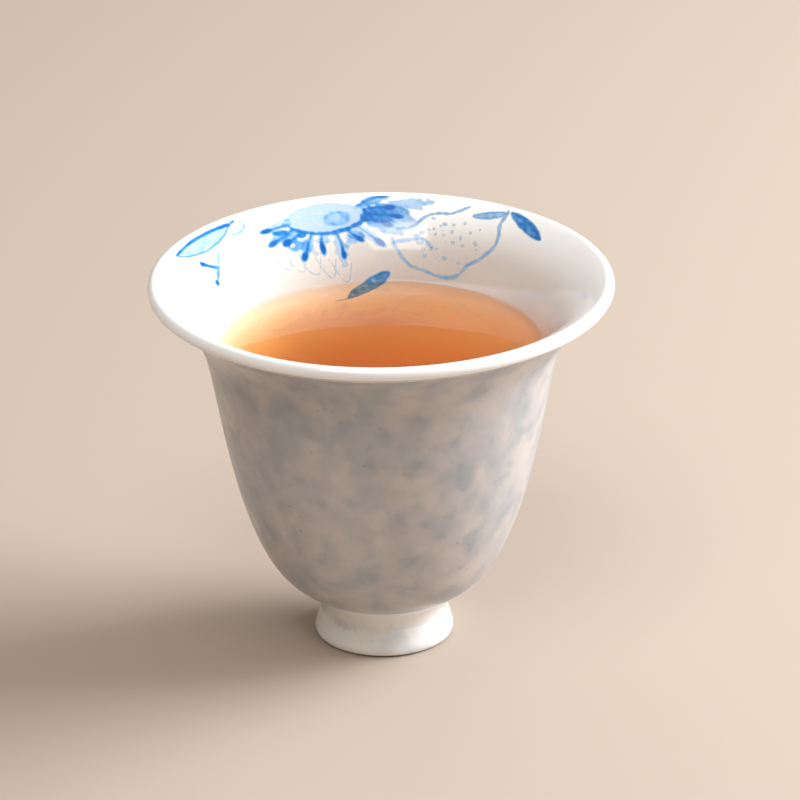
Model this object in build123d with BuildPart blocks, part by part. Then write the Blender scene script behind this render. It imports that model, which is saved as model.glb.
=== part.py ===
"""A small bell-shaped porcelain tasting cup on a pedestal foot, painted inside and filled with tea.

Millimetres, +Z up. The origin is the centre of the circle that the foot stands on. Every piece is
round, so each is a profile of radius and height, revolved about the Z axis.
"""

import math
import os

from build123d import *

os.makedirs("parts", exist_ok=True)

# Cup
RIM_RADIUS = 37.5
CUP_HEIGHT = 62.5
LIP_THICKNESS = 2.2
WALL_THICKNESS = 2.4
FLOOR_THICKNESS = 3.0
TEA_LEVEL = 51.0

# The outside's turning points, as radius and height, and how steeply it climbs there, in degrees
BELLY_EDGE = (20.75, 18.5)
BELLY_CLIMB = 67.5
FLARE_START = (28.35, 49.9)
FLARE_CLIMB = 76.5
LIP_CLIMB = 26.0

# Foot
FOOT_RADIUS = 11.36
FOOT_TAPER = [(11.17, 2.1), (10.8, 3.3)]
FOOT_WAIST = (10.4, 4.5)
WAIST_CLIMB = 110.0
NECK_RADIUS = 12.0
NECK_CLIMB = 50.0
SWELL_HEIGHT = 1.1
SWELL_RADIUS = 1.45
RECESS_RADIUS = 8.0
RECESS_DEPTH = 3.8
RECESS_FILLET = 1.5
STANDING_RADIUS = 8.3
STANDING_BEVEL = 0.4

# Coats
GLAZE = 0.3
PAINT_FILM = 0.1
COAT_TOP = 59.3
BARE_FOOT_EDGE = 0.35
BARE_RECESS_EDGE = 1.0

# Painted fields: lowest and highest point on the inner wall, and the angles that they span about +Z
# from the +X axis. The bloom faces the drinker across the cup, at 90 degrees.
BLOOM = {"low": 45.0, "high": 62.0, "first": 51, "last": 128}
LEFT_SPRAY = {"low": 53.5, "high": 62.0, "first": 129, "last": 173}
RIGHT_LEAVES = {"low": 58.5, "high": 62.0, "first": 35, "last": 50}

LAYER_STEPS = 24


def at_angle(centre, radius, degrees):
    """The point of a circle at an angle, as radius and height."""
    turn = math.radians(degrees)
    return (centre[0] + radius * math.cos(turn), centre[1] + radius * math.sin(turn))


def heading(degrees):
    """The direction of a line that climbs at an angle from the level."""
    return at_angle((0, 0), 1, degrees)


# The lip ends in a half-round bead.
bead = LIP_THICKNESS / 2
bead_centre = (RIM_RADIUS - bead, CUP_HEIGHT - bead)
lip_under = at_angle(bead_centre, bead, LIP_CLIMB - 90)

# The outside of the finished cup, from the axis, under the foot, up to the bead
belly = Spline(
    (0, 6.3),
    (8.2, 7.0),
    (14.75, 9.85),
    (18.15, 13.5),
    BELLY_EDGE,
    tangents=(heading(0), heading(BELLY_CLIMB)),
)
side = Spline(
    BELLY_EDGE,
    (24.8, 32.0),
    (26.3, 39.4),
    FLARE_START,
    tangents=(heading(BELLY_CLIMB), heading(FLARE_CLIMB)),
)
flare = Spline(FLARE_START, lip_under, tangents=(heading(FLARE_CLIMB), heading(LIP_CLIMB)))
outline = Wire([belly, side, flare])


def wall_at(share):
    """The finished wall's thickness at a share of the outside's length, from the floor to the lip."""
    floor = (FLOOR_THICKNESS - WALL_THICKNESS) * (1 - share) ** 2
    lip = (LIP_THICKNESS - WALL_THICKNESS) * share**4
    return WALL_THICKNESS + floor + lip


def layer(depth_at):
    """A line inside the wall, at a depth under the outside that depends on the share of its length."""
    points = []
    for step in range(LAYER_STEPS + 1):
        share = step / LAYER_STEPS
        point = outline @ share
        along = outline % share
        depth = depth_at(share)
        points.append((point.X - along.Y * depth, point.Y + along.X * depth))
    return Spline(*points, tangents=(outline % 0, outline % 1))


outside = layer(lambda share: 0)
clay_outside = layer(lambda share: GLAZE)
clay_inside = layer(lambda share: wall_at(share) - GLAZE)
paint_inside = layer(lambda share: wall_at(share) - GLAZE + PAINT_FILM)
inside = layer(wall_at)


def share_at(line, radius=None, height=None):
    """The share of a line's length where it reaches a radius or a height."""
    low, high = 0.0, 1.0
    while high - low > 1e-9:
        middle = (low + high) / 2
        point = line @ middle
        reached = point.X >= radius if height is None else point.Y >= height
        low, high = (low, middle) if reached else (middle, high)
    return high


def bead_arc(radius):
    """Half a circle round the lip, from its underside over the edge to its inside."""
    ends = [at_angle(bead_centre, radius, LIP_CLIMB + turn) for turn in (-90, 0, 90)]
    return ThreePointArc(*ends)


def foot_side(inset):
    """The foot's outside, from the swell to the waist and out to the neck, moved in by an inset."""
    taper = [(FOOT_RADIUS, SWELL_HEIGHT), *FOOT_TAPER, FOOT_WAIST]
    points = [(radius - inset, height) for radius, height in taper]
    lower = Spline(*points, tangents=((0, 1), heading(WAIST_CLIMB)))
    neck = outside @ share_at(outside, radius=NECK_RADIUS - inset)
    upper = Spline(lower @ 1, neck, tangents=((0, 1), heading(NECK_CLIMB)))
    return [lower, upper]


def foot_swell(inset, height):
    """The round lower edge of the foot, from the swell down to a height."""
    centre = (FOOT_RADIUS - SWELL_RADIUS, SWELL_HEIGHT)
    radius = SWELL_RADIUS - inset
    lowest = -math.degrees(math.asin((SWELL_HEIGHT - height) / radius))
    return ThreePointArc(*[at_angle(centre, radius, lowest * part) for part in (0, 0.5, 1)])


def recess_line(inset, edge):
    """The hollow under the foot, from its mouth at a height up to the axis."""
    wall = RECESS_RADIUS - inset
    roof = RECESS_DEPTH - inset
    corner = (RECESS_RADIUS - RECESS_FILLET, RECESS_DEPTH - RECESS_FILLET)
    turned = [at_angle(corner, RECESS_FILLET - inset, angle) for angle in (0, 45, 90)]
    Line((wall, edge), (wall, corner[1]))
    ThreePointArc(*turned)
    Line((corner[0], roof), (0, roof))


def wall_plane(degrees):
    """The upright plane through the axis at an angle about +Z from the +X axis."""
    turn = math.radians(degrees)
    out = (math.cos(turn), math.sin(turn), 0)
    return Plane(origin=(0, 0, 0), x_dir=out, z_dir=(out[1], -out[0], 0))


def skin(inner, outer, ends):
    """A closed profile between two lines, each cut at the shares given for its two ends."""
    near = inner.trim(*ends[0])
    far = outer.trim(*ends[1])
    add([near, far])
    Line(near @ 0, far @ 0)
    Line(near @ 1, far @ 1)


neck_shares = [share_at(line, radius=NECK_RADIUS) for line in (outside, clay_outside)]
coat_shares = [share_at(line, height=COAT_TOP) for line in (outside, clay_outside)]

# The porcelain wall, from the floor to the lip
with BuildPart() as bowl:
    with BuildSketch(Plane.XZ):
        with BuildLine():
            add(clay_outside)
            bead_arc(bead - GLAZE)
            add(clay_inside)
            Line(clay_inside @ 0, clay_outside @ 0)
        make_face()
    revolve(axis=Axis.Z)
bowl.part.label = "bowl"

# The pedestal foot: its roof fits the round bottom of the bowl.
with BuildPart() as foot_ring:
    with BuildSketch(Plane.XZ):
        with BuildLine():
            roof = outside.trim(0, share_at(outside, radius=NECK_RADIUS - GLAZE))
            add(roof)
            foot_side(GLAZE)
            swell = foot_swell(GLAZE, 0)
            Line(swell @ 1, (STANDING_RADIUS, 0))
            Line((STANDING_RADIUS, 0), (RECESS_RADIUS, STANDING_BEVEL))
            recess_line(0, STANDING_BEVEL)
            Line((0, RECESS_DEPTH), roof @ 0)
        make_face()
    revolve(axis=Axis.Z)
foot_ring.part.label = "foot_ring"

# The slip that joins the foot to the bowl
with BuildPart() as luting_slip:
    with BuildSketch(Plane.XZ):
        with BuildLine():
            skin(outside, clay_outside, [(0, neck_shares[0]), (0, neck_shares[1])])
        make_face()
    revolve(axis=Axis.Z)
luting_slip.part.label = "luting_slip"

# The mottled coat on the outside, from the foot to just under the lip
with BuildPart() as outer_glaze:
    with BuildSketch(Plane.XZ):
        with BuildLine():
            skin(outside, clay_outside, list(zip(neck_shares, coat_shares)))
        make_face()
    revolve(axis=Axis.Z)
outer_glaze.part.label = "outer_glaze"


def painted_field(field):
    """A film of pigment on the porcelain of the inner wall, within a field's heights and angles."""
    lines = (clay_inside, paint_inside)
    ends = [[share_at(line, height=field[end]) for end in ("low", "high")] for line in lines]
    with BuildPart() as film:
        with BuildSketch(wall_plane(field["first"])):
            with BuildLine():
                skin(*lines, ends)
            make_face()
        revolve(axis=Axis.Z, revolution_arc=field["last"] - field["first"])
    return film


painted_flower = painted_field(BLOOM)
painted_flower.part.label = "painted_flower"
painted_left_spray = painted_field(LEFT_SPRAY)
painted_left_spray.part.label = "painted_left_spray"
painted_right_leaves = painted_field(RIGHT_LEAVES)
painted_right_leaves.part.label = "painted_right_leaves"

# The clear glaze inside, over the paint and round the lip to where the outer coat ends
with BuildPart() as inner_glaze:
    with BuildSketch(Plane.XZ):
        with BuildLine():
            under_lip = [line.trim(share, 1) for line, share in zip((outside, clay_outside), coat_shares)]
            add(under_lip)
            Line(under_lip[0] @ 0, under_lip[1] @ 0)
            bead_arc(bead)
            bead_arc(bead - GLAZE)
            add(inside)
            add(clay_inside)
            Line(inside @ 0, clay_inside @ 0)
        make_face()
    revolve(axis=Axis.Z)
    for painted in (painted_flower, painted_left_spray, painted_right_leaves):
        add(painted.part, mode=Mode.SUBTRACT)
inner_glaze.part.label = "inner_glaze"

# The clear glaze on the side of the foot, down to its bare lower edge
with BuildPart() as foot_glaze:
    with BuildSketch(Plane.XZ):
        with BuildLine():
            sides = [foot_side(inset) for inset in (0, GLAZE)]
            swells = [foot_swell(inset, BARE_FOOT_EDGE) for inset in (0, GLAZE)]
            Line(swells[0] @ 1, swells[1] @ 1)
            add(outside.trim(share_at(outside, radius=NECK_RADIUS - GLAZE), neck_shares[0]))
        make_face()
    revolve(axis=Axis.Z)
foot_glaze.part.label = "foot_glaze"

# The clear glaze in the hollow under the foot
with BuildPart() as recess_glaze:
    with BuildSketch(Plane.XZ):
        with BuildLine():
            recess_line(0, BARE_RECESS_EDGE)
            recess_line(GLAZE, BARE_RECESS_EDGE)
            Line((RECESS_RADIUS, BARE_RECESS_EDGE), (RECESS_RADIUS - GLAZE, BARE_RECESS_EDGE))
            Line((0, RECESS_DEPTH), (0, RECESS_DEPTH - GLAZE))
        make_face()
    revolve(axis=Axis.Z)
recess_glaze.part.label = "recess_glaze"

# The tea that fills the cup
with BuildPart() as tea:
    with BuildSketch(Plane.XZ):
        with BuildLine():
            side = inside.trim(0, share_at(inside, height=TEA_LEVEL))
            add(side)
            Line(side @ 1, (0, TEA_LEVEL))
            Line((0, TEA_LEVEL), side @ 0)
        make_face()
    revolve(axis=Axis.Z)
tea.part.label = "tea"

export_step(bowl.part, "parts/bowl.step")
export_step(foot_ring.part, "parts/foot_ring.step")
export_step(luting_slip.part, "parts/luting_slip.step")
export_step(outer_glaze.part, "parts/outer_glaze.step")
export_step(painted_flower.part, "parts/painted_flower.step")
export_step(painted_left_spray.part, "parts/painted_left_spray.step")
export_step(painted_right_leaves.part, "parts/painted_right_leaves.step")
export_step(inner_glaze.part, "parts/inner_glaze.step")
export_step(foot_glaze.part, "parts/foot_glaze.step")
export_step(recess_glaze.part, "parts/recess_glaze.step")
export_step(tea.part, "parts/tea.step")
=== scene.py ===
"""The looks of a small bell-shaped porcelain tasting cup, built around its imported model.

Lengths in this script are millimetres until a mesh is made. The cup stands on z = 0 with its axis on
+Z, and the drinker sits on the -Y side, opposite the painted bloom.
"""

import math

import bpy
import numpy as np
from mathutils import Matrix, Vector


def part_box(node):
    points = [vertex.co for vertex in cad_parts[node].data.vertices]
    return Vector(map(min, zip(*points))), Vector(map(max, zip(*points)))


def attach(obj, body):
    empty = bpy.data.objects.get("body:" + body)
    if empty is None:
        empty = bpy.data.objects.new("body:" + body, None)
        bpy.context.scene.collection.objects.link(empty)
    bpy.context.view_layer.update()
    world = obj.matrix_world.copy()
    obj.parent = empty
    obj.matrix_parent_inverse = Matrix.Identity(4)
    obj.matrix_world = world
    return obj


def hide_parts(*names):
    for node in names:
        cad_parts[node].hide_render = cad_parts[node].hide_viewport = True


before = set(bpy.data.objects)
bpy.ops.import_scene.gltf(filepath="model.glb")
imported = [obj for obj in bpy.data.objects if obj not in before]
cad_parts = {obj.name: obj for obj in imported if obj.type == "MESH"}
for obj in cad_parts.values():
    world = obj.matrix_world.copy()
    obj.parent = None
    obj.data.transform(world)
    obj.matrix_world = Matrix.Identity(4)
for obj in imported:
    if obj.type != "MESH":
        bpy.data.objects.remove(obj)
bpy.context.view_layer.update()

MM = 0.001


def corner(node):
    """The highest corner of a CAD node, in millimetres."""
    return [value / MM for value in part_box(node)[1]]


# Cup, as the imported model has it
RIM_RADIUS = corner("inner_glaze")[0]
CUP_HEIGHT = corner("inner_glaze")[2]
COAT_TOP = corner("outer_glaze")[2]
TEA_LEVEL = corner("tea")[2]
NECK_RADIUS = corner("foot_glaze")[0]
LIP_THICKNESS = 2.2
WALL_THICKNESS = 2.4
FLOOR_THICKNESS = 3.0
GLAZE = 0.3
BELLY_EDGE = (20.75, 18.5)
BELLY_CLIMB = 67.5
FLARE_START = (28.35, 49.9)
FLARE_CLIMB = 76.5
LIP_CLIMB = 26.0

# Foot
FOOT_RADIUS = 11.36
FOOT_TAPER = [(11.17, 2.1), (10.8, 3.3)]
FOOT_WAIST = (10.4, 4.5)
WAIST_CLIMB = 110.0
NECK_CLIMB = 50.0
SWELL_HEIGHT = 1.1
SWELL_RADIUS = 1.45
RECESS_RADIUS = 8.0
RECESS_DEPTH = 3.8
RECESS_FILLET = 1.5
STANDING_RADIUS = 8.3
STANDING_BEVEL = 0.4
BARE_FOOT_EDGE = 0.35
BARE_RECESS_EDGE = 1.0

SEGMENTS = 192


# ---------------------------------------------------------------- lines of radius and height

def heading(degrees):
    """The direction of a line that climbs at an angle from the level."""
    turn = math.radians(degrees)
    return np.array([math.cos(turn), math.sin(turn)])


def curve(points, climbs, count=100):
    """A smooth line through points, with how steeply it climbs at its two ends, in degrees."""
    points = np.array(points, float)
    gaps = np.linalg.norm(np.diff(points, axis=0), axis=1)
    knots = np.concatenate([[0], np.cumsum(gaps)])
    last = len(points) - 1
    system = np.eye(last + 1)
    target = np.array([heading(climbs[0])] + [(0.0, 0.0)] * (last - 1) + [heading(climbs[1])])
    for i in range(1, last):
        before, after = gaps[i - 1], gaps[i]
        steps = after / before * (points[i] - points[i - 1]) + before / after * (points[i + 1] - points[i])
        system[i, i - 1 : i + 2] = after, 2 * (before + after), before
        target[i] = 3 * steps
    slopes = np.linalg.solve(system, target)
    places = np.linspace(0, knots[-1], count)
    i = np.clip(np.searchsorted(knots, places, side="right") - 1, 0, last - 1)
    gap = gaps[i][:, None]
    t = (places - knots[i])[:, None] / gap
    ends = (1 + 2 * t) * (1 - t) ** 2 * points[i] + t**2 * (3 - 2 * t) * points[i + 1]
    return ends + t * (1 - t) ** 2 * gap * slopes[i] - t**2 * (1 - t) * gap * slopes[i + 1]


def lengths(line):
    """How far along a line each of its points lies."""
    return np.concatenate([[0], np.cumsum(np.linalg.norm(np.diff(line, axis=0), axis=1))])


def even(line, count):
    """The same line with a number of points at even distances."""
    far = lengths(line)
    places = np.linspace(0, far[-1], count)
    return np.column_stack([np.interp(places, far, line[:, axis]) for axis in (0, 1)])


def arc(centre, radius, first, last, count=13):
    """Points of a circle from one angle to another, in degrees."""
    return np.array([centre + radius * heading(angle) for angle in np.linspace(first, last, count)])


bead = LIP_THICKNESS / 2
bead_centre = np.array([RIM_RADIUS - bead, CUP_HEIGHT - bead])
lip_under = bead_centre + bead * heading(LIP_CLIMB - 90)

belly = curve([(0, 6.3), (8.2, 7.0), (14.75, 9.85), (18.15, 13.5), BELLY_EDGE], (0, BELLY_CLIMB))
side = curve([BELLY_EDGE, (24.8, 32.0), (26.3, 39.4), FLARE_START], (BELLY_CLIMB, FLARE_CLIMB))
flare = curve([FLARE_START, lip_under], (FLARE_CLIMB, LIP_CLIMB))
outside = even(np.vstack([belly, side[1:], flare[1:]]), 201)
share = np.linspace(0, 1, len(outside))
along = np.gradient(outside, axis=0)
along /= np.linalg.norm(along, axis=1)[:, None]
inward = np.column_stack([-along[:, 1], along[:, 0]])
wall = (
    WALL_THICKNESS
    + (FLOOR_THICKNESS - WALL_THICKNESS) * (1 - share) ** 2
    + (LIP_THICKNESS - WALL_THICKNESS) * share**4
)


def layer(depth):
    """The line that lies a depth inside the outside of the wall."""
    depth = np.broadcast_to(depth, share.shape)
    line = outside + inward * depth[:, None]
    line[0, 0] = 0
    return line


clay_outside = layer(GLAZE)
clay_inside = layer(wall - GLAZE)
inside = layer(wall)


def cut(line, low=None, high=None, radius=None):
    """The part of a climbing line between two heights, or from a radius outwards."""
    axis, start = (0, radius) if radius is not None else (1, low)
    if start is not None:
        keep = line[:, axis] > start
        first = [np.interp(start, line[:, axis], line[:, other]) for other in (0, 1)]
        line = np.vstack([[first], line[keep]])
    if high is not None:
        last = [np.interp(high, line[:, 1], line[:, 0]), high]
        line = np.vstack([line[line[:, 1] < high], [last]])
    return line


def bead_arc(radius):
    """Half a circle round the lip, from its underside over the edge to its inside."""
    return arc(bead_centre, radius, LIP_CLIMB - 90, LIP_CLIMB + 90, 25)


# ---------------------------------------------------------------- meshes

def hand(points):
    """The unevenness of a hand-thrown wall, which all the pieces share: the higher, the more."""
    points = np.array(points, float)
    angle = np.arctan2(points[:, 1], points[:, 0])
    lift = np.clip(points[:, 2] / CUP_HEIGHT, 0, None)
    oval = 0.0016 * lift**2 * np.cos(2 * angle - 0.9) + 0.0008 * lift * np.cos(3 * angle + 1.1)
    points[:, :2] *= (1 + oval)[:, None]
    return points


def mesh_piece(name, points, faces, *nodes, slot):
    """A smooth mesh object from points in millimetres, that rides on the cup and replaces CAD nodes."""
    mesh = bpy.data.meshes.new(name)
    mesh.from_pydata((hand(points) * MM).tolist(), [], faces)
    mesh.polygons.foreach_set("use_smooth", [True] * len(mesh.polygons))
    mesh.update()
    piece = bpy.data.objects.new(name, mesh)
    bpy.context.scene.collection.objects.link(piece)
    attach(piece, "root")
    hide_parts(*nodes)
    return piece


def lathe(name, profile, *nodes, slot):
    """Revolves a closed profile. Its points on the axis become single vertices."""
    profile = np.array(profile, float)
    keep = np.linalg.norm(profile - np.roll(profile, 1, axis=0), axis=1) > 1e-6
    profile = profile[keep]
    turns = np.linspace(0, 2 * math.pi, SEGMENTS, endpoint=False)
    points, rings = [], []
    for radius, height in profile:
        count = 1 if radius < 1e-6 else SEGMENTS
        rings.append(range(len(points), len(points) + count))
        points += [(radius * math.cos(turn), radius * math.sin(turn), height) for turn in turns[:count]]
    faces = []
    for this, following in zip(rings, rings[1:] + rings[:1]):
        if len(this) == len(following) == 1:
            continue
        for i in range(SEGMENTS):
            j = (i + 1) % SEGMENTS
            corners = [this[i % len(this)], this[j % len(this)]]
            corners += [following[j % len(following)], following[i % len(following)]]
            faces.append(list(dict.fromkeys(corners)))
    return mesh_piece(name, points, faces, *nodes, slot=slot)


def foot_side(inset):
    """The foot's outside, from the swell to the waist and out to the neck, moved in by an inset."""
    taper = [(FOOT_RADIUS, SWELL_HEIGHT), *FOOT_TAPER, FOOT_WAIST]
    lower = curve(taper, (90, WAIST_CLIMB), 30) - (inset, 0)
    neck = NECK_RADIUS - inset
    upper = curve([lower[-1], (neck, np.interp(neck, outside[:, 0], outside[:, 1]))], (90, NECK_CLIMB), 20)
    return np.vstack([lower, upper[1:]])


def foot_swell(inset, height):
    """The round lower edge of the foot, from the swell down to a height."""
    centre = np.array([FOOT_RADIUS - SWELL_RADIUS, SWELL_HEIGHT])
    radius = SWELL_RADIUS - inset
    lowest = -math.degrees(math.asin((SWELL_HEIGHT - height) / radius))
    return arc(centre, radius, 0, lowest)


def recess_line(inset, edge):
    """The hollow under the foot, from its mouth at a height up to the axis."""
    fillet = np.array([RECESS_RADIUS - RECESS_FILLET, RECESS_DEPTH - RECESS_FILLET])
    turned = arc(fillet, RECESS_FILLET - inset, 0, 90)
    return np.vstack([[(RECESS_RADIUS - inset, edge)], turned, [(0, RECESS_DEPTH - inset)]])


bowl = lathe(
    "bowl_porcelain",
    np.vstack([clay_outside, bead_arc(bead - GLAZE), clay_inside[::-1]]),
    "bowl",
    slot="porcelain",
)
foot = lathe(
    "foot_ring_porcelain",
    np.vstack([
        recess_line(0, STANDING_BEVEL)[::-1],
        [(STANDING_RADIUS, 0)],
        foot_swell(GLAZE, 0)[::-1],
        foot_side(GLAZE),
        outside[outside[:, 0] < NECK_RADIUS - GLAZE][::-1],
    ]),
    "foot_ring",
    slot="porcelain",
)
neck_cut = [line[line[:, 0] < NECK_RADIUS] for line in (outside, clay_outside)]
slip = lathe("luting_slip_ring", np.vstack([neck_cut[0], neck_cut[1][::-1]]), "luting_slip", slot="slip")

coat_lines = [cut(line, high=COAT_TOP, radius=NECK_RADIUS) for line in (outside, clay_outside)]
coat = lathe(
    "mottled_outer_coat",
    np.vstack([coat_lines[0], coat_lines[1][::-1]]),
    "outer_glaze",
    slot="mottled_glaze",
)
lip_lines = [cut(line, low=COAT_TOP) for line in (outside, clay_outside)]
lining = lathe(
    "clear_lining_and_lip",
    np.vstack([
        lip_lines[0],
        bead_arc(bead),
        inside[::-1],
        clay_inside,
        bead_arc(bead - GLAZE)[::-1],
        lip_lines[1][::-1],
    ]),
    "inner_glaze",
    slot="clear_glaze",
)
foot_coat = lathe(
    "foot_clear_coat",
    np.vstack([
        foot_swell(0, BARE_FOOT_EDGE)[::-1],
        foot_side(0),
        foot_side(GLAZE)[::-1],
        foot_swell(GLAZE, BARE_FOOT_EDGE),
    ]),
    "foot_glaze",
    slot="foot_glaze",
)
recess_coat = lathe(
    "recess_clear_coat",
    np.vstack([recess_line(GLAZE, BARE_RECESS_EDGE), recess_line(0, BARE_RECESS_EDGE)[::-1]]),
    "recess_glaze",
    slot="foot_glaze",
)

# The tea clings to the wall in a low meniscus. Its sides run just inside the glaze.
MENISCUS_RISE = 0.45
MENISCUS_WIDTH = 1.6
TEA_OVERLAP = 0.08
tea_side = cut(layer(wall - TEA_OVERLAP), high=TEA_LEVEL)
tea_edge = tea_side[-1, 0]
level = []
for away in np.linspace(0, MENISCUS_WIDTH * 1.6, 18):
    sunk = 1 - math.exp(-away / (MENISCUS_WIDTH / 3))
    level.append((tea_edge - away, TEA_LEVEL - MENISCUS_RISE * sunk))
tea = lathe(
    "tea_liquid",
    np.vstack([tea_side, level[1:], [(tea_edge / 2, level[-1][1])], [(0, level[-1][1])]]),
    "tea",
    slot="tea",
)


# ---------------------------------------------------------------- painting on the inner wall

wall_line = inside[::-1]
wall_far = lengths(wall_line)
FILM_PROUD = 0.02
FILM_STEP = 0.15


def softly(edge, blur, distance):
    """1 inside an edge and 0 outside it, with a soft step."""
    t = np.clip((edge + blur - distance) / (2 * blur), 0, 1)
    return t * t * (3 - 2 * t)


def rounded(points, times=3):
    """A broken line with its corners cut until it is smooth."""
    points = np.array(points, float)
    for _ in range(times):
        near = 0.75 * points[:-1] + 0.25 * points[1:]
        far = 0.25 * points[:-1] + 0.75 * points[1:]
        points = np.vstack([points[:1], np.column_stack([near, far]).reshape(-1, 2), points[-1:]])
    return points


class Painting:
    """Pigment on a field of the inner wall.

    A place on the wall is an angle in degrees, from the side opposite the drinker towards the right,
    and a distance down the wall in millimetres, from where the lip's bead begins.
    """

    def __init__(self, angles, downs):
        columns = int(math.radians(angles[1] - angles[0]) * 30 / FILM_STEP)
        rows = int((downs[1] - downs[0]) / FILM_STEP)
        self.angle, self.down = np.meshgrid(np.linspace(*angles, columns), np.linspace(*downs, rows))
        self.radius = np.interp(self.down, wall_far, wall_line[:, 0])
        self.height = np.interp(self.down, wall_far, wall_line[:, 1])
        self.degree = np.radians(1) * self.radius
        self.pigment = np.zeros_like(self.angle)
        self.shiver = self.waves(0.9, 3.2)
        self.grain = self.waves(1.0, 3.0)

    def waves(self, shortest, longest):
        """An irregular field between about -1 and 1, made of waves of those lengths in millimetres."""
        rng = np.random.default_rng(5)
        field = np.zeros_like(self.angle)
        for _ in range(24):
            turn, phase = rng.uniform(0, 2 * math.pi, 2)
            along = self.angle * 0.5 * math.cos(turn) + self.down * math.sin(turn)
            field += np.sin(2 * math.pi * along / rng.uniform(shortest, longest) + phase)
        return field / 6

    def lay(self, amount):
        """Adds pigment over what is there."""
        self.pigment = 1 - (1 - self.pigment) * (1 - np.clip(amount, 0, 1))

    def away(self, line):
        """Each place's distance from a line on the wall, and the share of the line nearest to it."""
        nearest = np.full(self.angle.shape, 1e9)
        nearest_share = np.zeros_like(nearest)
        for i, (start, end) in enumerate(zip(line[:-1], line[1:])):
            run = [(end[0] - start[0]) * self.degree, end[1] - start[1]]
            rel = [(self.angle - start[0]) * self.degree, self.down - start[1]]
            t = np.clip((rel[0] * run[0] + rel[1] * run[1]) / (run[0] ** 2 + run[1] ** 2 + 1e-9), 0, 1)
            gap = np.hypot(rel[0] - t * run[0], rel[1] - t * run[1])
            nearer = gap < nearest
            nearest = np.where(nearer, gap, nearest)
            nearest_share = np.where(nearer, (i + t) / (len(line) - 1), nearest_share)
        return nearest, nearest_share

    def stroke(self, points, width, strength, blur=0.14, rough=0.05):
        """A brush line. Width and strength are one number, or one for the start and one for the end."""
        gap, where = self.away(rounded(points))
        start, end = np.broadcast_to(width, 2)
        heavy, light = np.broadcast_to(strength, 2)
        half = (start + (end - start) * where) / 2
        shade = (heavy + (light - heavy) * where) * (1 + 0.2 * self.grain)
        self.lay(softly(half, blur, gap + rough * self.shiver) * shade)

    def spot(self, angle, down, width, height, lean=0.0):
        """How far each place lies outside an oval, with its size in millimetres and lean in degrees."""
        across = (self.angle - angle) * self.degree
        below = self.down - down
        turn = math.radians(lean)
        u = (across * math.cos(turn) + below * math.sin(turn)) / (width / 2)
        v = (below * math.cos(turn) - across * math.sin(turn)) / (height / 2)
        return (np.hypot(u, v) - 1) * min(width, height) / 2

    def dab(self, angle, down, width, height, strength, blur=0.14, lean=0.0):
        """A soft oval touch of the brush's tip."""
        self.lay(softly(0, blur, self.spot(angle, down, width, height, lean)) * strength)

    def wash(self, gap, strength, rough=0.35, blur=0.25):
        """A thin ragged wash inside a shape, a little darker where it dried at its edge."""
        gap = gap + rough * self.shiver
        self.lay(softly(0, blur, gap) * strength * (1 + 0.25 * self.grain))
        self.lay(softly(0.1, 0.25, np.abs(gap + 0.2)) * 0.4 * strength)

    def blade(self, stem, tip, bulges):
        """How far each place lies outside a pointed leaf whose sides bulge by the millimetres given."""
        run = [(tip[0] - stem[0]) * self.degree, tip[1] - stem[1]]
        long = np.hypot(*run)
        rel = [(self.angle - stem[0]) * self.degree, self.down - stem[1]]
        t = (rel[0] * run[0] + rel[1] * run[1]) / long**2
        off = (rel[1] * run[0] - rel[0] * run[1]) / long
        belly_of = np.clip(4 * t * (1 - t), 0, 1) ** 0.75
        gap = np.maximum(off - belly_of * bulges[1], belly_of * bulges[0] - off)
        return np.where((t > 0) & (t < 1), gap, 1.0)

    def leaf(self, stem, tip, bulges, fill, edge):
        """A filled leaf with a drawn edge."""
        gap = self.blade(stem, tip, bulges)
        self.lay(softly(0, 0.12, gap + 0.08 * self.shiver) * fill * (1 + 0.3 * self.grain))
        self.lay(softly(0.14, 0.16, np.abs(gap + 0.06 * self.shiver)) * edge)

    def piece(self, name, node, slot):
        """The film of glaze that holds the pigment, only where there is any."""
        shown = self.pigment > 0.015
        used = shown[:-1, :-1] | shown[1:, :-1] | shown[:-1, 1:] | shown[1:, 1:]
        turn = np.radians(self.angle)
        grid = np.arange(self.angle.size).reshape(self.angle.shape)
        points = np.column_stack([
            (self.radius * np.sin(turn)).ravel(),
            (self.radius * np.cos(turn)).ravel(),
            self.height.ravel(),
        ])
        tilt = np.interp(self.down, wall_far, np.linspace(1, 0, len(wall_far)))
        normal = np.column_stack([np.interp(tilt.ravel(), share, inward[:, axis]) for axis in (0, 1)])
        points[:, 0] += FILM_PROUD * normal[:, 0] * np.sin(turn).ravel()
        points[:, 1] += FILM_PROUD * normal[:, 0] * np.cos(turn).ravel()
        points[:, 2] += FILM_PROUD * normal[:, 1]
        corners = [grid[:-1, :-1], grid[1:, :-1], grid[1:, 1:], grid[:-1, 1:]]
        faces = np.column_stack([c[used] for c in corners])
        kept, faces = np.unique(faces, return_inverse=True)
        film = mesh_piece(name, points[kept], faces.reshape(-1, 4).tolist(), node, slot=slot)
        layer_of_pigment = film.data.attributes.new("pigment", "FLOAT", "POINT")
        layer_of_pigment.data.foreach_set("value", self.pigment.ravel()[kept].astype(np.float32))
        return film


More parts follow.
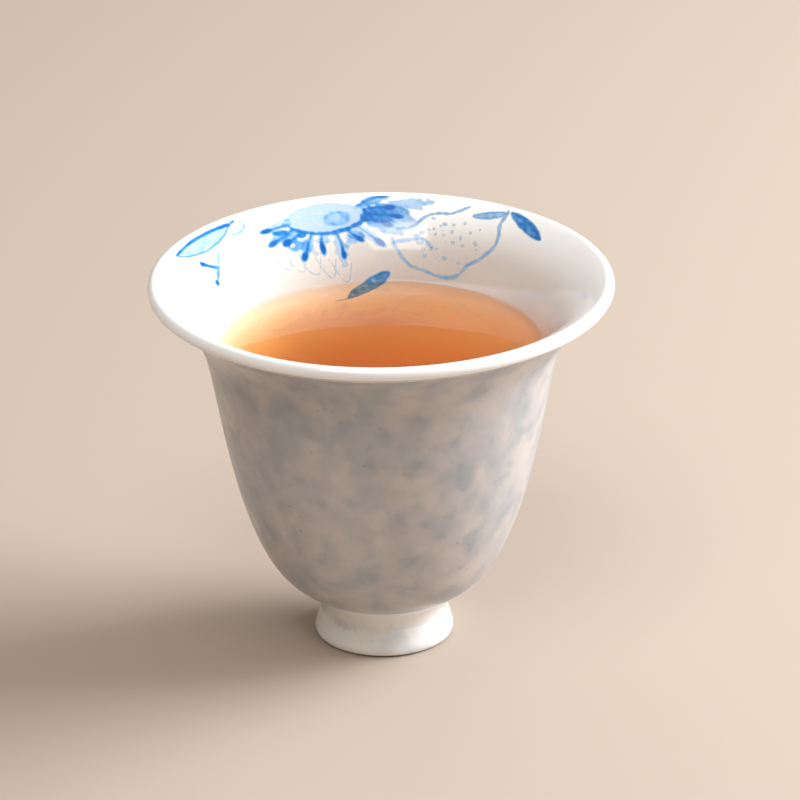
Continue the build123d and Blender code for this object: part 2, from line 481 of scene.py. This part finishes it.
def paint_bloom():
    """The bloom: a pale heart with its stamens, washes of pigment, and one wide scalloped petal."""
    paint = Painting((-45, 41), (0.3, 21.4))
    rng = np.random.default_rng(11)
    heart = np.array([-16.5, 3.9])
    per_mm = 1.85  # degrees round the wall in a millimetre
    paint.wash(paint.spot(*heart, 14.0, 5.6), 0.15, rough=0.2)
    paint.wash(paint.spot(heart[0] + 3.4, heart[1] + 0.5, 4.8, 2.9), 0.20, rough=0.15)
    for i, angle in enumerate(np.linspace(174, -34, 12)):
        out = np.array([math.cos(math.radians(angle)) * per_mm, math.sin(math.radians(angle))])
        root = heart + out * (6.3, 2.8)
        reach = (7.3 if i % 2 else 5.2) + rng.uniform(-0.4, 0.4) - 0.8 * (i > 9)
        tip = heart + out * (9.0 + 0.35 * reach, reach)
        bend = (root + tip) / 2 + rng.uniform(-1, 1, 2) * (1.1, 0.35)
        lean = math.degrees(math.atan2(tip[1] - bend[1], (tip[0] - bend[0]) / per_mm))
        past = tip + (tip - bend) * rng.uniform(0.3, 0.9)
        paint.wash(paint.blade(root, past, (-0.8, 0.9)), rng.uniform(0.14, 0.34), rough=0.3)
        paint.stroke([root, bend, tip], (0.25, 0.6), (0.3, 0.75))
        paint.dab(*tip, rng.uniform(1.3, 2.2), rng.uniform(0.75, 1.15), 0.98, blur=0.2, lean=lean)
    for _ in range(16):
        angle = math.radians(rng.uniform(-30, 178))
        reach = rng.uniform(0.9, 1.35)
        place = heart + (12.4 * per_mm * 0.55 * reach * math.cos(angle), 4.6 * reach * math.sin(angle))
        size = rng.uniform(1.6, 3.6), rng.uniform(0.9, 2.0)
        paint.wash(paint.spot(*place, *size, lean=rng.uniform(-60, 60)), rng.uniform(0.06, 0.2), rough=0.4)
    rim = [heart + (per_mm * 6.6 * math.cos(t), 2.95 * math.sin(t)) for t in np.linspace(2.9, -0.25, 12)]
    paint.stroke(rim, (0.45, 0.8), (0.6, 0.9), blur=0.22, rough=0.12)
    for angle, down, width, height in [(-4.5, 4.6, 2.0, 1.5), (-25, 6.6, 1.6, 1.1), (-31, 5.4, 2.6, 1.0)]:
        paint.wash(paint.spot(angle, down, width, height), 0.6, rough=0.25)
    for down, reach in [(1.2, 15), (3.2, 9), (5.6, 12), (7.6, 7)]:
        paint.wash(paint.blade((-5, 3.6), (reach, down), (-1.3, 1.2)), 0.22, rough=0.4)
    for i in range(6):
        start = np.array([-44 + 5.2 * i, 6.6 + 0.9 * i])
        middle = start + (2.6 + rng.uniform(-1, 1), 3.4)
        paint.stroke([start, middle, start + (6.5, 4.6), start + (7.6, 1.2)], 0.22, 0.13)
    scallops = []
    for t in np.linspace(math.radians(158), math.radians(-28), 70):
        ripple = 1 - 0.075 * abs(math.cos(3.1 * t + 0.4)) ** 4 + 0.02 * math.sin(7 * t)
        scallops.append((20 + 18.4 * ripple * math.cos(t), 4.8 + 9.5 * ripple * math.sin(t)))
    paint.stroke(scallops, (0.4, 0.5), (0.30, 0.33), blur=0.2, rough=0.1)
    paint.stroke([(5, 6.6), (10, 6.4), (13, 4.0), (17, 3.2), (21, 3.2), (25, 1.2)], 0.4, 0.36, rough=0.1)
    paint.stroke([(4, 9.0), (9, 8.4), (14, 8.0), (17, 9.6)], (0.6, 0.3), (0.36, 0.28), rough=0.1)
    for _ in range(44):
        place = (rng.uniform(10, 33), rng.uniform(4.2, 11.8))
        size = rng.uniform(0.35, 0.7), rng.uniform(0.35, 0.6)
        paint.dab(*place, *size, rng.uniform(0.06, 0.26), blur=0.16)
    paint.leaf((3.0, 13.9), (-12.5, 20.8), (-0.9, 1.7), 0.5, 0.45)
    paint.stroke([(-12.5, 20.8), (-17, 21.2)], (0.35, 0.2), (0.35, 0.2))
    return paint.piece("painted_bloom_film", "painted_flower", "cobalt_bloom")


def paint_left_spray():
    """A long leaf under the lip, and two thin sprigs with round buds below it."""
    paint = Painting((-83, -39), (0.3, 13.0))
    paint.leaf((-46, 1.1), (-71.5, 1.0), (-2.5, 0.15), 0.2, 0.5)
    paint.stroke([(-46, 1.0), (-54, 0.7), (-62, 0.7), (-71.5, 1.0)], (0.7, 0.3), (0.75, 0.6))
    paint.stroke([(-46, 1.1), (-43.5, 0.7)], 0.5, 0.7)
    paint.stroke([(-42, 1.2), (-41, 2.2), (-44, 3.2), (-47, 3.1)], 0.45, 0.3)
    paint.stroke([(-66, 4.9), (-63, 6.2), (-60.5, 7.0)], (0.9, 0.5), (0.85, 0.6))
    paint.dab(-66, 4.9, 1.0, 0.9, 0.9)
    paint.stroke([(-56.5, 4.8), (-60.5, 7.0), (-66, 8.8)], (0.5, 0.5), (0.3, 0.55))
    paint.wash(paint.blade((-57, 5.0), (-66, 9.0), (-0.9, 0.3)), 0.16, rough=0.2)
    paint.dab(-66, 8.8, 1.0, 1.0, 0.85)
    paint.stroke([(-54.5, 6.6), (-50.5, 9.6), (-46.5, 12.2)], (0.4, 0.7), (0.4, 0.65))
    paint.wash(paint.spot(-51, 9.0, 3.4, 1.5, lean=40), 0.18, rough=0.25)
    paint.dab(-46.5, 12.2, 0.9, 0.7, 0.6)
    paint.dab(-80, 9.0, 0.8, 0.8, 0.35)
    return paint.piece("painted_left_spray_film", "painted_left_spray", "cobalt_leaves")


def paint_right_leaves():
    """A slim leaf and a broad filled leaf that share a stem under the lip."""
    paint = Painting((26, 54), (0.2, 4.6))
    paint.leaf((37.0, 0.8), (27.0, 2.9), (-0.9, 0.35), 0.34, 0.3)
    paint.leaf((37.5, 0.6), (52.5, 3.6), (-0.8, 1.0), 0.62, 0.5)
    paint.stroke([(37.5, 0.6), (45, 1.6), (52.5, 3.6)], 0.3, 0.5)
    return paint.piece("painted_right_leaves_film", "painted_right_leaves", "cobalt_leaves")


films = [paint_bloom(), paint_left_spray(), paint_right_leaves()]


# ---------------------------------------------------------------- materials

class Wire:
    """A socket of a material's nodes. Arithmetic on it adds Math nodes."""

    def __init__(self, tree, socket=None):
        self.tree = tree
        self.socket = socket

    def node(self, kind, settings=None, sockets=None, out=0):
        """A new node: its settings and a ramp's stops come first, then its sockets."""
        made = self.tree.nodes.new(kind)
        for name, value in (settings or {}).items():
            if name == "stops":
                ramp = made.color_ramp
                while len(ramp.elements) < len(value):
                    ramp.elements.new(0.5)
                for element, (place, colour) in zip(ramp.elements, value):
                    element.position = place
                    element.color = (*colour, 1)
            else:
                setattr(made, name, value)
        for key, value in (sockets or {}).items():
            if isinstance(value, Wire):
                self.tree.links.new(value.socket, made.inputs[key])
            else:
                made.inputs[key].default_value = value
        return Wire(self.tree, made.outputs[out])

    def math(self, operation, *values):
        return self.node("ShaderNodeMath", {"operation": operation}, dict(enumerate(values)))

    def __add__(self, other):
        return self.math("ADD", self, other)

    def __sub__(self, other):
        return self.math("SUBTRACT", self, other)

    def __rsub__(self, other):
        return self.math("SUBTRACT", other, self)

    def __mul__(self, other):
        return self.math("MULTIPLY", self, other)

    __radd__ = __add__
    __rmul__ = __mul__

    def step(self, low, high):
        """A smooth step from 0 to 1 as this value goes from low to high."""
        settings = {"interpolation_type": "SMOOTHSTEP"}
        return self.node("ShaderNodeMapRange", settings, {0: self, 1: low, 2: high})

    def mix(self, dark, light):
        """The colour between two colours, by this value."""
        colours = [value if isinstance(value, Wire) else (*value, 1) for value in (dark, light)]
        sockets = {0: self, 6: colours[0], 7: colours[1]}
        return self.node("ShaderNodeMix", {"data_type": "RGBA"}, sockets, out=2)

    def height(self):
        """The height of this place."""
        return self.node("ShaderNodeSeparateXYZ", {}, {0: self}, out="Z")

    def noise(self, size, detail=2.0):
        """Cloudy noise whose patches are about a size in millimetres. This wire is the place."""
        sockets = {"Vector": self, "Scale": 1 / size, "Detail": detail}
        return self.node("ShaderNodeTexNoise", {}, sockets, out="Fac")

    def noise_vector(self, size):
        """A soft random direction, about the same over a size in millimetres."""
        sockets = {"Vector": self, "Scale": 1 / size, "Detail": 1.0}
        return self.node("ShaderNodeTexNoise", {}, sockets, out="Color")

    def dabs(self, size):
        """Distance from the nearest of many scattered dabs about a size apart, as a share of the size."""
        settings = {"feature": "SMOOTH_F1"}
        sockets = {"Vector": self, "Scale": 1 / size, "Smoothness": 0.6}
        return self.node("ShaderNodeTexVoronoi", settings, sockets, "Distance")

    def bump(self, depth):
        """The normal of a surface that this value lifts by up to a depth in millimetres."""
        sockets = {"Strength": 1.0, "Distance": depth * MM, "Height": self}
        return self.node("ShaderNodeBump", {}, sockets)


def material(name, pieces):
    """A new material on some pieces, with the place on the cup in millimetres as a wire."""
    made = bpy.data.materials.new(name)
    made.use_nodes = True
    made.node_tree.nodes.clear()
    for piece in pieces:
        piece.data.materials.clear()
        piece.data.materials.append(made)
    start = Wire(made.node_tree)
    place = start.node("ShaderNodeTexCoord", out="Object")
    return start.node("ShaderNodeVectorMath", {"operation": "SCALE"}, {0: place, "Scale": 1 / MM})


def finish_with(place, shader, volume=None):
    """Ends a material with its shader."""
    sockets = {"Surface": shader}
    if volume is not None:
        sockets["Volume"] = volume
    output = place.tree.nodes.new("ShaderNodeOutputMaterial")
    for key, value in sockets.items():
        place.tree.links.new(value.socket, output.inputs[key])


def glossy(place, **sockets):
    """A principled shader: socket names have underscores for spaces."""
    return place.node("ShaderNodeBsdfPrincipled", {}, {k.replace("_", " "): v for k, v in sockets.items()})


def fired_clay(name, colour, pieces):
    """Bare porcelain: matte, faintly cloudy, with a fine sandy grain."""
    place = material(name, pieces)
    cloud = place.noise(6.0, 3)
    grain = place.noise(0.12, 2)
    shade = cloud.step(0.35, 0.7).mix(colour, [0.93 * value for value in colour])
    finish_with(place, glossy(
        place,
        Base_Color=shade,
        Roughness=0.62 + 0.12 * grain,
        Normal=(grain + 0.6 * cloud).bump(0.05),
        IOR=1.5,
    ))


def clear_glaze():
    """Clear glaze on white porcelain: glassy, faintly rippled, with a grey smear or two on the foot, and
    painted light and shade on the inside, which is one white in the real cup: a painted darker wall between
    the lip and the tea, a painted lighter lip band and a painted lighter wall under the tea.
    """
    place = material("clear_glaze_on_porcelain", [lining, foot_coat, recess_coat])
    cloud = place.noise(9.0, 3)
    ripple = place.noise(3.2, 2)
    # Painted shade: the wall between the lip band and the tea is a darker copy of the white glaze.
    wall = cloud.step(0.3, 0.75).mix((0.71, 0.665, 0.62), (0.675, 0.635, 0.595))
    # Painted light: the lip band and the wall under the tea are mixed towards white as lighter copies of
    # the same glaze. At the lip this also stands for its thicker glaze.
    lip = place.height().step(CUP_HEIGHT - 7, CUP_HEIGHT - 1.5)
    low = place.height().step(TEA_LEVEL, TEA_LEVEL - 4)
    white = (lip + 0.75 * low).mix(wall, (0.92, 0.915, 0.90))
    smear = place.noise(3.6, 3).step(0.48, 0.64) * place.height().step(FOOT_WAIST[1] + 2, FOOT_WAIST[1])
    shade = (0.4 * smear).mix(white, (0.50, 0.57, 0.61))
    finish_with(place, glossy(
        place,
        Base_Color=shade,
        Roughness=0.10 + 0.06 * ripple,
        Normal=(ripple + 0.35 * place.noise(0.9, 1)).bump(0.035),
        Coat_Weight=0.5,
        Coat_Roughness=0.04,
        IOR=1.5,
    ))


def mottled_glaze():
    """The outside coat: smoky blue-grey dabs and a few tan ones, over a pale ground."""
    place = material("mottled_blue_grey_glaze", [coat])
    drift = place.noise(13.0, 2)
    cloud = place.noise(5.0, 3)
    bent = place.node(
        "ShaderNodeVectorMath",
        {"operation": "MULTIPLY_ADD"},
        {0: place.noise_vector(4.0), 1: (5.0, 5.0, 5.0), 2: place},
    )
    smoke = bent.dabs(6.4).step(0.72, 0.1) * drift.step(0.3, 0.58)
    smudge = bent.dabs(3.4).step(0.6, 0.05) * cloud.step(0.42, 0.66)
    tan = bent.dabs(4.1).step(0.5, 0.08) * cloud.step(0.54, 0.36)
    speck = place.noise(0.8, 0).step(0.82, 0.87)
    ground = cloud.step(0.3, 0.7).mix((0.54, 0.495, 0.475), (0.43, 0.42, 0.43))
    smoked = (smoke * 0.7).mix(ground, (0.305, 0.345, 0.375))
    smudged = (smudge * 0.5).mix(smoked, (0.26, 0.31, 0.35))
    tanned = (tan * 0.42).mix(smudged, (0.62, 0.545, 0.485))
    finish_with(place, glossy(
        place,
        Base_Color=(speck * 0.4).mix(tanned, (0.13, 0.14, 0.16)),
        Roughness=0.30 + 0.10 * cloud,
        Normal=(cloud + 0.35 * smoke).bump(0.05),
        Coat_Weight=0.25,
        Coat_Roughness=0.18,
        IOR=1.5,
    ))


def cobalt():
    """Blue pigment under glaze: pale where it is thin, deep blue where the brush rested."""
    place = material("cobalt_pigment", films)
    laid = place.node("ShaderNodeAttribute", {"attribute_name": "pigment"}, out="Fac")
    grain = place.noise(0.35, 3)
    pool = place.noise(1.6, 2)
    depth = laid * (0.78 + 0.16 * grain + 0.28 * pool)
    stops = [
        (0.0, (0.70, 0.77, 0.84)),
        (0.18, (0.41, 0.57, 0.75)),
        (0.4, (0.12, 0.33, 0.64)),
        (0.7, (0.008, 0.18, 0.54)),
        (1.0, (0.0, 0.095, 0.40)),
    ]
    finish_with(place, glossy(
        place,
        Base_Color=place.node("ShaderNodeValToRGB", {"stops": stops}, {"Fac": depth}),
        Alpha=depth.step(0.0, 0.2),
        Roughness=0.10 + 0.06 * pool,
        Coat_Weight=0.5,
        Coat_Roughness=0.04,
        IOR=1.5,
    ))


def brewed_tea():
    """Clear amber tea: it takes up blue and green light, so it is deeper in colour where it is deeper."""
    place = material("amber_tea", [tea])
    tint = (0.98, 0.93, 0.82, 1)
    water = glossy(
        place,
        Base_Color=tint,
        Roughness=0.0,
        IOR=1.333,
        Specular_IOR_Level=0.3,
        Transmission_Weight=1.0,
    )
    lit = place.node("ShaderNodeBsdfTransparent", {}, {"Color": (0.76, 0.67, 0.54, 1)})
    lamp = place.node("ShaderNodeLightPath", out="Is Shadow Ray")
    body = place.node("ShaderNodeMixShader", {}, {0: lamp, 1: water, 2: lit})
    brew = place.node("ShaderNodeVolumeAbsorption", {}, {"Color": (0.94, 0.67, 0.20, 1), "Density": 57.0})
    finish_with(place, body, brew)


fired_clay("bare_porcelain", (0.84, 0.82, 0.78), [bowl, foot])
fired_clay("joining_slip", (0.80, 0.78, 0.74), [slip])
clear_glaze()
mottled_glaze()
cobalt()
brewed_tea()


# ---------------------------------------------------------------- stage, light and camera

def plain(name, colour, roughness):
    """A plain matte material for the stage."""
    made = bpy.data.materials.new(name)
    made.use_nodes = True
    shader = made.node_tree.nodes["Principled BSDF"]
    shader.inputs["Base Color"].default_value = (*colour, 1)
    shader.inputs["Roughness"].default_value = roughness
    return made


def soft_lamp(name, place, size, power, colour, aim=(0, 0, 0.035)):
    """A square soft lamp that faces the cup."""
    light = bpy.data.lights.new(name, "AREA")
    light.shape = "RECTANGLE"
    light.size, light.size_y = size
    light.energy = power
    light.color = colour
    lamp = bpy.data.objects.new(name, light)
    lamp.location = place
    lamp.rotation_euler = (Vector(place) - Vector(aim)).to_track_quat("Z", "Y").to_euler()
    bpy.context.scene.collection.objects.link(lamp)


floor_mesh = bpy.data.meshes.new("studio_floor")
far = 40.0
floor_mesh.from_pydata([(-far, -far, 0), (far, -far, 0), (far, far, 0), (-far, far, 0)], [], [(0, 1, 2, 3)])
floor_mesh.materials.append(plain("floor_paper", (0.45, 0.365, 0.30), 0.8))
floor = bpy.data.objects.new("studio_floor", floor_mesh)
bpy.context.scene.collection.objects.link(floor)

world = bpy.data.worlds.new("studio_world")
world.use_nodes = True
room = Wire(world.node_tree).node("ShaderNodeTexCoord", out="Generated").height()
room_stops = [(0.0, (0.44, 0.36, 0.30)), (0.45, (0.42, 0.38, 0.34)), (1.0, (0.62, 0.61, 0.60))]
room_colour = room.node("ShaderNodeValToRGB", {"stops": room_stops}, {"Fac": room})
world.node_tree.links.new(room_colour.socket, world.node_tree.nodes["Background"].inputs["Color"])
world.node_tree.nodes["Background"].inputs["Strength"].default_value = 0.85
bpy.context.scene.world = world

soft_lamp("window_lamp", (0.72, 0.16, 0.44), (0.55, 0.5), 15.5, (0.93, 0.97, 1.0))
soft_lamp("ceiling_lamp", (-0.1, 0.15, 1.3), (1.3, 1.3), 1.5, (1.0, 0.99, 0.97))
soft_lamp("front_lamp", (-0.12, -0.50, 0.90), (0.5, 0.5), 3.6, (1.0, 0.98, 0.96))

CAMERA_FAR = 1.0
CAMERA_ABOVE = math.radians(22.8)
CAMERA_PITCH = math.radians(23.87)
CAMERA_LEAN = math.radians(0.48)
CAMERA_ASIDE = 0.0029
rim_height = (CUP_HEIGHT - bead) * MM
camera_data = bpy.data.cameras.new("camera")
camera_data.lens = 280.2
camera_data.sensor_width = 36.0
camera = bpy.data.objects.new("camera", camera_data)
camera.matrix_world = (
    Matrix.Translation((
        CAMERA_ASIDE,
        -CAMERA_FAR * math.cos(CAMERA_ABOVE),
        rim_height + CAMERA_FAR * math.sin(CAMERA_ABOVE),
    ))
    @ Matrix.Rotation(math.radians(90) - CAMERA_PITCH, 4, "X")
    @ Matrix.Rotation(-CAMERA_LEAN, 4, "Z")
)
bpy.context.scene.collection.objects.link(camera)
bpy.context.scene.camera = camera
bpy.context.scene.view_settings.view_transform = "Standard"
